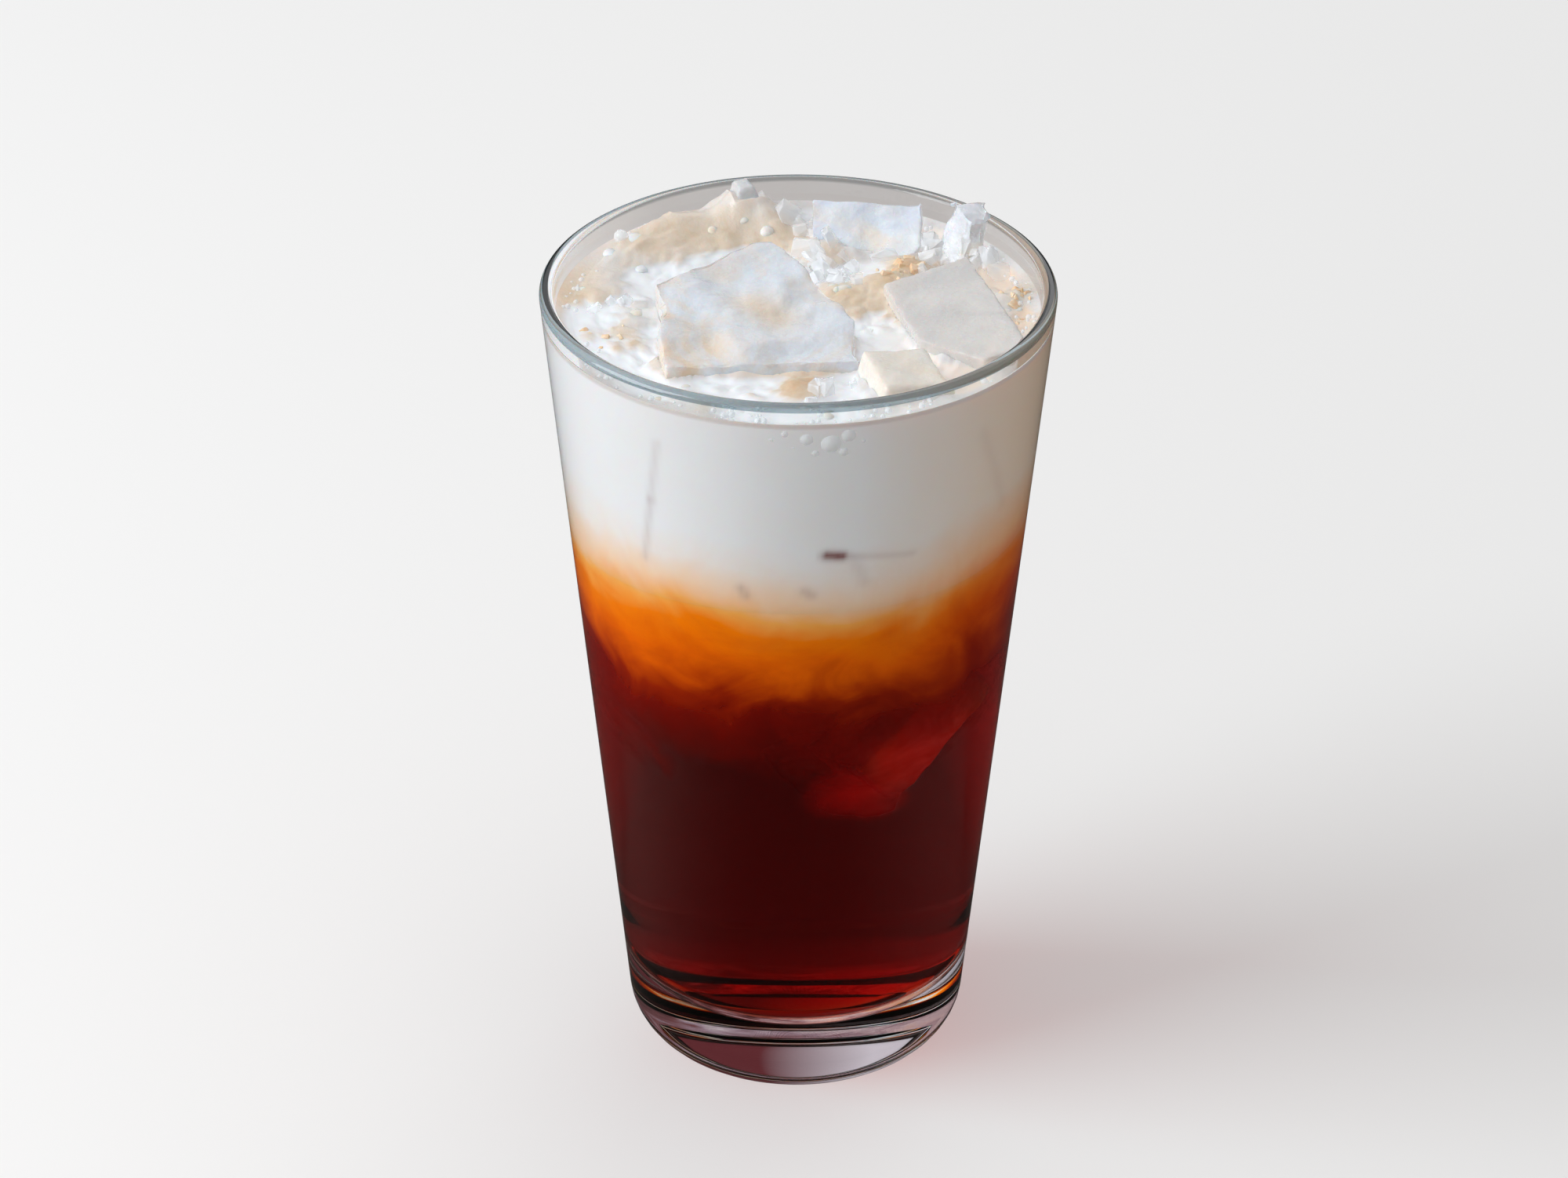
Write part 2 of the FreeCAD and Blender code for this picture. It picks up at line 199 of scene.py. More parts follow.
class Finish:
    """A material and its nodes, or those of the room around the scene."""

    def __init__(self, name, kind="Material"):
        library = bpy.data.worlds if kind == "World" else bpy.data.materials
        self.made = library.new(name)
        self.made.use_nodes = True
        self.tree = self.made.node_tree
        self.tree.nodes.clear()
        self.out = self.tree.nodes.new("ShaderNodeOutput" + kind)

    def join(self, one, other):
        """Join an outlet to an inlet."""
        self.tree.links.new(one, other)

    def feed(self, inlet, value):
        """Join an inlet to an outlet, or set its number or colour."""
        if isinstance(value, bpy.types.NodeSocket):
            self.join(value, inlet)
        elif inlet.type == "RGBA":
            inlet.default_value = (*value, 1)
        else:
            inlet.default_value = value

    def node(self, kind, settings=None, **inlets):
        """Add a node. Settings are its properties, and inlets go by name."""
        made = self.tree.nodes.new("ShaderNode" + kind)
        for key, value in (settings or {}).items():
            setattr(made, key, value)
        for key, value in inlets.items():
            self.feed(made.inputs[key.replace("_", " ")], value)
        return made

    def place(self):
        """A point's place in the piece's own space."""
        return self.node("TexCoord").outputs["Object"]

    def axis(self, name):
        """That place along X, Y or Z alone."""
        return self.node("SeparateXYZ", Vector=self.place()).outputs[name]

    def painted(self, name):
        """A number that the mesh carries from point to point."""
        return self.node("Attribute", {"attribute_name": name}).outputs["Fac"]

    def noise(self, scale, detail=3.0, roughness=0.5, distortion=0.0, vector=None):
        """Soft noise in the piece's own space. Scale is in cycles per metre."""
        made = self.node("TexNoise", Scale=scale, Detail=detail, Roughness=roughness,
                         Distortion=distortion, Vector=vector or self.place())
        return made.outputs["Fac"]

    def maths(self, kind, one, two=0, clamp=False):
        """Maths on two values."""
        made = self.node("Math", {"operation": kind, "use_clamp": clamp})
        self.feed(made.inputs[0], one)
        self.feed(made.inputs[1], two)
        return made.outputs["Value"]

    def spread(self, value, low, high, to_low=0, to_high=1):
        """Read a value along a new range, and hold it inside."""
        made = self.node("MapRange", Value=value, From_Min=low, From_Max=high,
                         To_Min=to_low, To_Max=to_high)
        return made.outputs["Result"]

    def ramp(self, value, stops):
        """Colours along a value. A single number is a grey."""
        made = self.node("ValToRGB", Fac=value)
        items = made.color_ramp.elements
        while len(items) < len(stops):
            items.new(1)
        for item, (at, colour) in zip(items, stops):
            item.position = at
            item.color = (*colour, 1) if isinstance(colour, tuple) else (colour,) * 3 + (1,)
        return made.outputs["Color"]

    def mixed(self, factor, one, two, kind="MIX"):
        """Two colours mixed."""
        made = self.node("Mix", {"data_type": "RGBA", "blend_type": kind})
        for at, value in ((0, factor), (6, one), (7, two)):
            self.feed(made.inputs[at], value)
        return made.outputs[2]

    def bump(self, height, strength, distance):
        """Small relief from a height."""
        made = self.node("Bump", Height=height, Strength=strength, Distance=distance)
        return made.outputs["Normal"]

    def blend(self, factor, one, two):
        """Two shaders mixed."""
        made = self.node("MixShader", Fac=factor)
        self.join(one, made.inputs[1])
        self.join(two, made.inputs[2])
        return made.outputs[0]

    def nothing(self):
        """A shader that lets all light straight through."""
        return self.node("BsdfTransparent").outputs[0]

    def surface(self, shader):
        """Close the tree with its outside."""
        self.join(shader, self.out.inputs["Surface"])
        return self.made

    def clear_surface(self, shader):
        """A clear skin. Lamps shine through it, and so does light thrown back inside."""
        path = self.node("LightPath")
        for ray in ("Is Diffuse Ray", "Is Shadow Ray"):
            shader = self.blend(path.outputs[ray], shader, self.nothing())
        return self.surface(shader)


print("helpers:", ", ".join(name for name in vars(Finish) if name[0] != "_"))

# %% [markdown]
# ## Naming colours
# Shaders count light, so a grey that looks half bright is only a fifth of full light.
# Colours are easier to judge as they are shown on a screen, so they are written that way
# and turned into amounts of light here.

# %% Turn display colours into light


def srgb(red, green, blue):
    """A colour given as 0-255 display values, as the linear numbers that shaders use."""
    def linear(value):
        value /= 255
        return value / 12.92 if value <= 0.04045 else ((value + 0.055) / 1.055) ** 2.4
    return linear(red), linear(green), linear(blue)


print("a display grey of 128 is", round(srgb(128, 128, 128)[0], 3), "to a shader")

# %% [markdown]
# ## The finish of the glass
# Clear soda glass: a little grey-green, with the faint waviness of a moulded wall. One
# clear finish could serve it all, but two places ask for their own. Where tea or milk
# wets the wall, glass hardly mirrors, so that finish has its mirror tint at black. The
# rounded lip's body is a deeper grey-blue: partly the tint of its thickness, mostly painted
# shade for the dark line that the rim shows.

# %% Glass finishes
GLASS_BEND = 1.5
BLACK = (0, 0, 0)
WHITE = (1, 1, 1)


def glass_finish(name, mirror, body=(0.97, 0.985, 0.98)):
    """Clear glass. The mirror tint is what its reflections are coloured with."""
    look = Finish(name)
    waviness = look.bump(look.noise(38, 2), 0.12, 0.0004)
    clear = look.node("BsdfPrincipled", Base_Color=body, Roughness=0.0, IOR=GLASS_BEND,
                      Transmission_Weight=1.0, Specular_Tint=mirror, Normal=waviness)
    return look.clear_surface(clear.outputs[0])


GLASS = glass_finish("clear_glass", WHITE)
WET_GLASS = glass_finish("wet_glass", BLACK)
# The lip's deep grey-blue body is painted shade for the dark line at the rim.
LIP_GLASS_PAINTED_SHADE = glass_finish("lip_glass_painted_shade", WHITE, (0.16, 0.23, 0.26))
print("finishes", GLASS.name, WET_GLASS.name, LIP_GLASS_PAINTED_SHADE.name)

# %% [markdown]
# ## The glass
# A pint-shaped glass: straight tapered wall, thick foot with a soft heel, a shallow punt
# under it and a fire-polished lip. One section with five rounded corners, spun, gives all
# of these at once, which a thickened cone would not. Its faces then take their finish by
# where they lie.

# %% Spin the glass
WETTED_FROM = FLOOR_HEIGHT + 3 * MM
LIP_TALL = 1.8 * MM
LIP_DEEP = 1.6 * MM
glass_corners = [
    (0, PUNT_DEPTH), (PUNT_RADIUS * 0.5, PUNT_DEPTH * 0.75), (PUNT_RADIUS, 0),
    (FOOT_RADIUS, 0), (RIM_RADIUS, GLASS_HEIGHT), (RIM_RADIUS - LIP_WALL, GLASS_HEIGHT),
    (bore(FLOOR_HEIGHT), FLOOR_HEIGHT), (0, FLOOR_HEIGHT)]
bm = turned(glass_corners, {2: PUNT_ROUND, 3: HEEL_ROUND, 4: LIP_ROUND, 5: LIP_ROUND,
                            6: FLOOR_ROUND})
for face in bm.faces:
    middle = face.calc_center_median()
    out = middle.xy.length
    if out < bore(middle.z) + 0.1 * MM and WETTED_FROM < middle.z < CONTACT:
        face.material_index = 1
    if middle.z > GLASS_HEIGHT - LIP_TALL and out > RIM_RADIUS - LIP_DEEP:
        face.material_index = 2
finished(bm, "glass_body", [GLASS, WET_GLASS, LIP_GLASS_PAINTED_SHADE], ["glass"])

# %% [markdown]
# ## The tea
# Strong tea is clear but deep: it swallows green and blue within millimetres and red
# within centimetres. A red skin would look like paint, so the colour is absorption in the
# volume. The tea reaches a hair into the wall, because a gap would show as a silver film.

# %% Tea finish and piece
TEA_BEND = 1.33
look = Finish("red_tea")
liquid = look.node("BsdfPrincipled", Base_Color=WHITE, Roughness=0.0, IOR=TEA_BEND,
                   Transmission_Weight=1.0, Specular_Tint=BLACK)
depth = look.node("VolumeAbsorption", Color=(0.941, 0.35, 0.0), Density=500)
look.join(depth.outputs[0], look.out.inputs["Volume"])
TEA = look.clear_surface(liquid.outputs[0])

tea_foot = FLOOR_HEIGHT - INTO_WALL
bm = turned([(0, tea_foot), (bore(FLOOR_HEIGHT) + INTO_WALL, tea_foot),
             (bore(TEA_TOP) + INTO_WALL, TEA_TOP), (0, TEA_TOP)], {1: FLOOR_ROUND})
finished(bm, "tea_body", TEA, ["tea"])

# %% [markdown]
# ## Where milk and tea meet
# From the top down the wall shows white milk, a tan edge, bright orange, then brown wisps
# that thin out into the tea. Two finishes that meet would show a seam, so one scale of
# colour serves both the milk and the cloud below it. It is read along a height that noise
# bends, more and more loosely further down. Towards +X it is painted darker and browner:
# painted shade and painted warm bounce light on the side away from the window. Noise also adds
# browner patches all over.

# %% Colours along the height
SCALE_LOW = 70 * MM
SCALE_HIGH = 120 * MM
BRIGHT = [(0.0, srgb(100, 4, 0)), (0.26, srgb(124, 10, 0)), (0.36, srgb(150, 34, 0)),
          (0.44, srgb(196, 72, 0)), (0.52, srgb(236, 104, 0)), (0.63, srgb(250, 128, 0)),
          (0.70, srgb(252, 176, 84)), (0.78, srgb(248, 216, 186)),
          (0.88, srgb(243, 238, 234)), (1.0, srgb(240, 243, 246))]
# The browner copy of the colours: random browner patches, and towards +X painted shade and warm
# bounce light.
BROWN_PATCHES_AND_SHADE = [(0.0, srgb(100, 4, 0)), (0.28, srgb(122, 12, 0)), (0.42, srgb(150, 34, 0)),
         (0.56, srgb(200, 72, 0)), (0.67, srgb(230, 124, 40)), (0.80, srgb(240, 200, 164)),
         (1.0, srgb(240, 238, 236))]
SOLIDITY = [(0.0, 0), (0.12, 0.4), (0.32, 0.85), (0.44, 1)]
# Painted shade and warm bounce light, multiplied in on the side away from the window.
SHADY_SIDE = (0.98, 0.75, 0.55)


def bent_height(look, z):
    """The height, bent by broad noise and by curls of 2 mm that loosen to 22 mm."""
    broad = look.maths("SUBTRACT", look.noise(40, 3, 0.5, 0.4), 0.5)
    drawn = look.node("Mapping", Vector=look.place(), Scale=(1, 1, 1.5),
                      Rotation=(0.0, 0.5, 0.0))
    curl = look.maths("SUBTRACT", look.noise(62, 4, 0.5, 1.0, drawn.outputs["Vector"]), 0.5)
    loose = look.spread(z, 84 * MM, 106 * MM, 22 * MM, 2 * MM)
    bent = look.maths("ADD", z, look.maths("MULTIPLY", broad, 12 * MM))
    return look.maths("ADD", bent, look.maths("MULTIPLY", curl, loose))


def layered(look):
    """Colour down the drink, with painted shade and warm bounce light towards +X, and how solid
    it is there.
    """
    along = look.spread(bent_height(look, look.axis("Z")), SCALE_LOW, SCALE_HIGH)
    # Mask towards +X for the painted shade and warm bounce light.
    side = look.spread(look.axis("X"), 10 * MM, 44 * MM)
    patchy = look.ramp(look.noise(55, 5, 0.6, 1.5), [(0.4, 0.1), (0.62, 1)])
    patchy_and_shaded_side = look.maths("ADD", look.maths("MULTIPLY", patchy, 0.3), side, clamp=True)
    colour = look.mixed(patchy_and_shaded_side, look.ramp(along, BRIGHT), look.ramp(along, BROWN_PATCHES_AND_SHADE))
    colour = look.mixed(side, colour, SHADY_SIDE, "MULTIPLY")
    return colour, look.ramp(along, SOLIDITY)


print("orange is brightest", round((SCALE_LOW + 0.63 * (SCALE_HIGH - SCALE_LOW)) / MM), "mm up")

# %% [markdown]
# ## The finish of the cloud
# Milk sinks into the tea in an orange cloud that thins out into dark wisps. Smoke in a
# volume would be truer but slow and noisy, so the cloud is a skin against the wall that
# mixes into nothing where the scale says it is thin. It doesn't mirror, being in liquid.

# %% Cloud finish
look = Finish("orange_cloud")
colour, solid = layered(look)
body = look.node("BsdfPrincipled", Base_Color=colour, Roughness=0.6, Specular_IOR_Level=0.0,
                 Subsurface_Weight=0.15, Subsurface_Scale=0.003)
CLOUD = look.surface(look.blend(solid, look.nothing(), body.outputs[0]))
print("finish", CLOUD.name)

# %% [markdown]
# ## The shape of the cloud
# A layer that was poured never ends in a flat disc. The section is spun with a flat
# underside, its wall is cut into rings, and each point is then let down by a lean and a
# three-lobed ripple, while it keeps to the tapered wall.

# %% Spin the cloud and let its underside ripple


def underside(x, y, middle, lean, ripple):
    """Height of a layer's wavy underside above a point of the floor."""
    turn = math.atan2(x, -y)
    out = math.hypot(x, y) / RIM_RADIUS
    return middle + lean * x / RIM_RADIUS + ripple * out * out * math.cos(3 * turn + 0.6)


def waved(bm, low, to_height, lean, ripple):
    """Let the underside of a turned piece lean and ripple, and keep it on the wall."""
    for vert in bm.verts:
        x, y, z = vert.co
        if z > to_height - 1e-6:
            continue
        fall = (to_height - z) / (to_height - low)
        drop = underside(x, y, low, lean, ripple) - low
        out = vert.co.xy.length / (bore(z) + WALL_TOUCH)
        vert.co.z = z + drop * fall
        if out > 0.02:
            vert.co.xy *= (bore(vert.co.z) + WALL_TOUCH) / (bore(z) + WALL_TOUCH)


def wall_edges(bm, longer):
    """The upright edges of a turned piece that are longer than this."""
    return [e for e in bm.edges if abs(e.verts[0].co.z - e.verts[1].co.z) > longer]


bm = turned([(0, CLOUD_UNDERSIDE), (bore(CLOUD_UNDERSIDE) + WALL_TOUCH, CLOUD_UNDERSIDE),
             (bore(TEA_TOP) + WALL_TOUCH, TEA_TOP), (0, TEA_TOP)], {})
bmesh.ops.subdivide_edges(bm, edges=wall_edges(bm, 1 * MM), cuts=12, use_grid_fill=True)
waved(bm, CLOUD_UNDERSIDE, TEA_TOP, 4 * MM, 1.3 * MM)
finished(bm, "mix_cloud", CLOUD, ["tea_milk_mix"])

# %% [markdown]
# ## The ice
# Six blocks from a tray, each with its own size, tilt and broken corners. In this table
# come the place across and back as shares of the bore, the height of the top over the
# level, then width, depth and height in millimetres, draft, yaw, pitch and roll in
# degrees, how far it has melted, and its broken corners: the side of the block in x and
# y, and how much of each edge is gone.

# %% The blocks' sizes and places
ICE = {
    "ice_front_left": (-0.182, -0.156, 5.8, 34, 38, 27, 1.0, 5, 0, 8, 1.3,
                       [(-1, 1, 18, 12), (1, 1, 12, 26)]),
    "ice_right": (0.638, -0.2, 4.2, 16.5, 30, 21, 1.5, 18, -11, 6, 1.0, [(-1, -1, 8, 11)]),
    "ice_back_middle": (0.282, 0.58, 2.9, 20, 14.5, 15, 2.0, -3, 0, 35, 0.9,
                        [(1, -1, 4, 5)]),
    "ice_back_left": (-0.236, 0.845, 7.6, 3.0, 4.2, 20, 15, 20, -6, 4, 0.8, []),
    "ice_back_right": (0.748, 0.53, 9.2, 7.0, 7.5, 19, 6.5, 22, 4, 6, 0.6,
                       [(1, -1, 2.4, 3)]),
    "ice_front_right": (0.44, -0.63, 3.3, 12.5, 13, 16, 4, 22, 8, 8, 3.8, [])}
print(len(ICE), "blocks, the widest", max(sizes[3] for sizes in ICE.values()), "mm")

# %% [markdown]
# ## Cutting a block
# A cube is stretched, its foot spread by the tray's draft, its corners cut away with
# planes, and the block turned into place. Operators do each step as a hand would.

# %% Cut a block


def chipped(bm, width, depth, side_x, side_y, cut_x, cut_y):
    """Cut one upright corner away with a plane, and close the cut."""
    normal = Vector((side_x * cut_y, side_y * cut_x, 0)).normalized()
    point = Vector((side_x * (width / 2 - cut_x), side_y * depth / 2, 0))
    bmesh.ops.bisect_plane(bm, geom=bm.verts[:] + bm.edges[:] + bm.faces[:],
                           plane_co=point, plane_no=normal, clear_outer=True)
    bmesh.ops.holes_fill(bm, edges=[e for e in bm.edges if e.is_boundary], sides=0)


def tilted(yaw, pitch, roll):
    """The turn of a block, from three angles in degrees."""
    return (Matrix.Rotation(math.radians(yaw), 4, "Z")
            @ Matrix.Rotation(math.radians(pitch), 4, "Y")
            @ Matrix.Rotation(math.radians(roll), 4, "X"))


def block(across, back, lift, width, depth, tall, draft, yaw, pitch, roll, breaks):
    """A drafted block hanging from its top face, in place in the glass."""
    bm = bmesh.new()
    bmesh.ops.create_cube(bm, size=1)
    bmesh.ops.translate(bm, verts=bm.verts, vec=(0, 0, -0.5))
    bmesh.ops.scale(bm, verts=bm.verts, vec=(width, depth, tall))
    spread = 2 * tall * math.tan(math.radians(draft))
    low = [v for v in bm.verts if v.co.z < -tall / 2]
    bmesh.ops.scale(bm, verts=low, vec=(1 + spread / width, 1 + spread / depth, 1))
    for corner in breaks:
        chipped(bm, width, depth, *corner)
    bmesh.ops.scale(bm, verts=bm.verts, vec=(MM, MM, MM))
    bmesh.ops.transform(bm, verts=bm.verts, matrix=tilted(yaw, pitch, roll))
    reach = bore(LEVEL)
    bmesh.ops.translate(bm, verts=bm.verts,
                        vec=(across * reach, back * reach, LEVEL + lift * MM))
    return bm


print("a corner is cut by", ICE["ice_right"][-1][0][2:], "mm")

# %% [markdown]
# ## Melting a block
# Ice that has stood in a drink has no sharp edge and no flat face. A bevel would round
# the edges evenly and look machined, so the block gets a fine even skin, is smoothed a
# few times, and is then worn inwards with three sizes of soft dents.

# %% Remesh and melt
DENTS = [(110, 0.9), (260, 0.35), (620, 0.08)]


def remeshed(bm, voxel):
    """The same solid in an even fine skin."""
    mesh = bpy.data.meshes.new("rough")
    bm.to_mesh(mesh)
    bm.free()
    rough = bpy.data.objects.new("rough", mesh)
    bpy.context.scene.collection.objects.link(rough)
    skin = rough.modifiers.new("even", "REMESH")
    skin.mode = "VOXEL"
    skin.voxel_size = voxel
    bpy.context.view_layer.update()
    even = bpy.data.meshes.new_from_object(
        rough.evaluated_get(bpy.context.evaluated_depsgraph_get()))
    bpy.data.objects.remove(rough)
    made = bmesh.new()
    made.from_mesh(even)
    bpy.data.meshes.remove(mesh)
    bpy.data.meshes.remove(even)
    return made


def melted(bm, passes, wear, seed):
    """Round the edges and wear the faces with soft dents, and stay inside the glass."""
    for turn in range(passes):
        bmesh.ops.smooth_vert(bm, verts=bm.verts, factor=0.5, use_axis_x=True,
                              use_axis_y=True, use_axis_z=True)
    bm.normal_update()
    shift = Vector((seed * 3.1, seed * 1.7, seed))
    moves = []
    for vert in bm.verts:
        dent = 0.6 + sum(deep * noise.noise(vert.co * scale + shift)
                         for scale, deep in DENTS)
        moves.append(-vert.normal * wear * dent)
    for vert, move in zip(bm.verts, moves):
        vert.co += move
        room = bore(min(vert.co.z, GLASS_HEIGHT)) - 0.4 * MM
        if vert.co.xy.length > room:
            vert.co.xy *= room / vert.co.xy.length


print("dents", [round(1000 / scale, 1) for scale, deep in DENTS], "mm across")

# %% [markdown]
# ## The finish of the ice
# Ice in milk is never plain clear. It shows pale and deeper patches, milk that clings
# low down, tan foam that lies on top in places, and clear spots. One recipe takes each
# block's own colours, so that a white block and a clear one differ only in its numbers.

# %% A recipe for frosted ice
ICE_BEND = 1.31


def heaped(spots, x, y):
    """Sum of soft round spots, each (x, y, width, amount) in millimetres."""
    return sum(amount * math.exp(-((x - spot_x) ** 2 + (y - spot_y) ** 2) / wide ** 2)
               for spot_x, spot_y, wide, amount in spots)


def ice_finish(name, pale, deep, stain, stained, clear):
    """Frosted ice: two colours, a stain with the height in mm it reaches, and clearness."""
    look = Finish(name)
    patch = look.ramp(look.noise(70, 4, 0.6, 0.8), [(0.34, deep), (0.6, pale)])
    low = look.spread(look.axis("Z"), LEVEL + 1.0 * MM, LEVEL + stained * MM, 1.0, 0.25)
    cling = look.ramp(look.noise(60, 4, 0.6, 1.0), [(0.46, 0), (0.66, 1)])
    uneven = look.maths("ADD", look.noise(170, 4, 0.6), 0.5)
    foamy = look.maths("MULTIPLY", look.painted("peach"), uneven)
    factor = look.maths("MAXIMUM", look.maths("MULTIPLY", cling, low), foamy)
    colour = look.mixed(factor, patch, stain)
    glassy = look.ramp(look.noise(120, 3), [(0.38, clear), (0.6, clear * 0.2)])
    rough = look.ramp(look.noise(260, 4, 0.6), [(0.3, 0.1), (0.7, 0.4)])
    fine = look.maths("ADD", look.noise(240, 4, 0.5), look.noise(1100, 3, 0.5))
    frost = look.node("BsdfPrincipled", Base_Color=colour, Roughness=rough, IOR=ICE_BEND,
                      Transmission_Weight=glassy, Subsurface_Weight=0.25,
                      Subsurface_Scale=0.002, Normal=look.bump(fine, 0.25, 0.0005))
    return look.clear_surface(frost.outputs[0])


print("a spot of foam is", round(heaped([(0, 0, 4, 1)], 4, 0), 2), "strong at its width")

# %% [markdown]
# ## Each block's finish and wear
# Blocks from one tray still differ: the big one is milky, the right one grey, the back
# ones bluer or clearer, and the small front one is coated with cream. Only the big block
# carries foam on top, so its stains are listed.

# %% Colours, wear and stains of the blocks
FROSTS = {
    "ice_front_left": ice_finish("milky_ice", srgb(221, 225, 230), srgb(208, 215, 222),
                                 srgb(226, 204, 176), 10, 0.08),
    "ice_right": ice_finish("grey_ice", srgb(211, 208, 204), srgb(198, 195, 193),
                            srgb(240, 228, 214), 2.5, 0.08),
    "ice_back_middle": ice_finish("blue_ice", srgb(238, 243, 248), srgb(214, 222, 234),
                                  srgb(242, 226, 202), 6, 0.2),
    "ice_back_left": ice_finish("white_peak", srgb(208, 210, 211), srgb(196, 200, 204),
                                srgb(240, 228, 208), 5, 0.1),
    "ice_back_right": ice_finish("clear_ice", srgb(236, 241, 247), srgb(196, 206, 218),
                                 srgb(240, 224, 200), 4, 0.5),
    "ice_front_right": ice_finish("cream_ice", srgb(232, 228, 219), srgb(226, 216, 202),
                                  srgb(242, 226, 204), 4, 0.03)}
WEAR = {"ice_front_left": 1.5, "ice_right": 0.5, "ice_back_middle": 1.2,
        "ice_back_left": 0.5, "ice_back_right": 1.7, "ice_front_right": 0.6}
STAINS = {"ice_front_left": [(-4, -10, 4.5, 0.75), (-9, -6, 4, 0.45), (-20, 6, 4, 0.35)]}
print("finishes", [frost.name for frost in FROSTS.values()])

# %% [markdown]
# ## Making the blocks
# Each block is cut, remeshed, melted and painted with its stains. A search tree of its
# skin is kept, because the milk will climb against it.

# %% Make the blocks
ice_skins = {}
for number, (name, sizes) in enumerate(ICE.items()):
    *places, melt, breaks = sizes
    bm = remeshed(block(*places, breaks), 0.5 * MM)
    melted(bm, int(melt * 4), WEAR[name] * MM, number + 2)
    ice_skins[name] = BVHTree.FromBMesh(bm)
    peach = bm.verts.layers.float.new("peach")
    for vert in bm.verts:
        vert[peach] = heaped(STAINS.get(name, []), vert.co.x / MM, vert.co.y / MM)
    finished(bm, name + "_block", FROSTS[name], [name])

# %% [markdown]
# ## The finish of the milk
# Thick white milk. Below the level it takes the layered colours and faint marks where ice
# presses on the wall. Above the level it is foam: near white, stained peach and tan where
# tea has soaked up. The strongest stains are also darker, painted shade of the gaps they lie
# in. One finish holds both, so that the milk stays one closed form.

# %% Milk finish
look = Finish("white_milk")
colour, solid = layered(look)
high = look.spread(look.axis("Z"), LEVEL - 0.3 * MM, LEVEL + 0.3 * MM)
swirl = look.maths("SUBTRACT", look.noise(110, 6, 0.68, 1.0), 0.5)
stained = look.maths("ADD", look.painted("peach"), swirl)
stained = look.maths("MULTIPLY", stained, high)
colour = look.mixed(look.painted("mark"), colour, srgb(120, 52, 50))
# Real peach and tan stain. The darkest end of this scale is partly painted shade for stains
# lying in gaps.
foam = look.ramp(stained, [(0.06, srgb(219, 217, 215)), (0.36, srgb(226, 213, 198)),
                           (0.8, srgb(217, 195, 167)), (1.0, srgb(206, 172, 134))])
grain = look.maths("MULTIPLY", look.noise(900, 4, 0.6), high)
cream = look.node("BsdfPrincipled", Base_Color=look.mixed(high, colour, foam),
                  Roughness=0.3, Subsurface_Weight=0.25, Subsurface_Scale=0.002,
                  Normal=look.bump(grain, 0.35, 0.0004))
MILK = look.surface(cream.outputs[0])
print("finish", MILK.name)

# %% [markdown]
# ## Mounds, stains and marks
# Noise alone would heap the foam anywhere. The larger mounds and tan stains have their
# places, so they are listed as soft round spots: x, y, width and amount in millimetres.
# The strongest stains lie in gaps, and part of their darkness is painted shade.
# A mark on the wall is a streak from one turn and height to another, with its half width
# and strength. Turns are degrees about the axis, from the front towards the right.

# %% Where the foam heaps and stains
MOUNDS = [(-17.6, 32, 8, 3.0), (-25, 28, 7, 2.8), (-31, 20, 6, 2.0), (-36, 8, 6, 1.6),
          (-31, -8, 6, 1.4), (-27, 2, 4, 1.2), (8, 4, 6, 2.4), (16, 8, 5, 3.2),
          (0, -30, 5, 1.8), (-18, -32, 6, 1.2), (37, 5, 5, 1.6), (4, 22, 5, 2.4),
          (-3, 30, 5, 2.2), (12, -34, 4, 0.8), (-9, 34.5, 6, 5.4), (19.5, 15, 3.8, 3.2)]
PEACH_STAINS_AND_GAP_SHADE = [(-38, 12, 7, 0.5), (-41, 4, 5, 0.45), (-28, 24, 7, 0.45), (-20, 26, 8, 0.45),
         (-11, 25, 7, 0.45), (-2, 27, 6, 0.5), (5, 18, 4, 0.5), (8, 4, 6, 0.55),
         (16, 8, 4, 0.8), (18, 15, 4, 0.7), (-1, -29, 6, 0.9), (4, -25, 4, 0.5),
         (-34, -7, 5, 0.6), (-29, -14, 4, 0.5), (37, 8, 5, 0.5), (39, -5, 5, 0.5),
         (-24, -22, 5, 0.3), (26, 24, 4, 0.5), (-35, 1, 7, 0.4), (12, 2, 8, 0.3),
         (-33, -14, 7, 0.3), (-12, -33, 7, 0.25), (14, -4, 5, 0.35), (20, 15.5, 4, 0.6)]
MARKS = [(-34.3, 137.2, -37.5, 125.4, 0.8, 0.16), (-37.5, 125.4, -41, 113.4, 0.8, 0.2),
         (7.2, 118.2, 10.7, 117.9, 1.0, 0.9), (10.7, 117.9, 29.6, 116.1, 0.7, 0.16),
         (14, 117, 17, 112, 1.2, 0.12), (-14, 111, -13, 109.6, 1.0, 0.3),
         (2, 110.8, 3.5, 110, 1.0, 0.25), (48, 136, 60, 118, 1.2, 0.08)]
WALL_PER_DEGREE = 0.7


def marked(x, y, z):
    """How strongly a mark shows at this point of the milk's wall, in millimetres."""
    here = Vector((math.degrees(math.atan2(x, -y)) * WALL_PER_DEGREE, z))
    shown = 0
    for turn_1, z_1, turn_2, z_2, wide, amount in MARKS:
        start = Vector((turn_1 * WALL_PER_DEGREE, z_1))
        along = Vector((turn_2 * WALL_PER_DEGREE, z_2)) - start
        share = min(1, max(0, (here - start).dot(along) / along.length_squared))
        away = (here - start - along * share).length
        shown += amount * math.exp(-(away / wide) ** 2)
    return shown


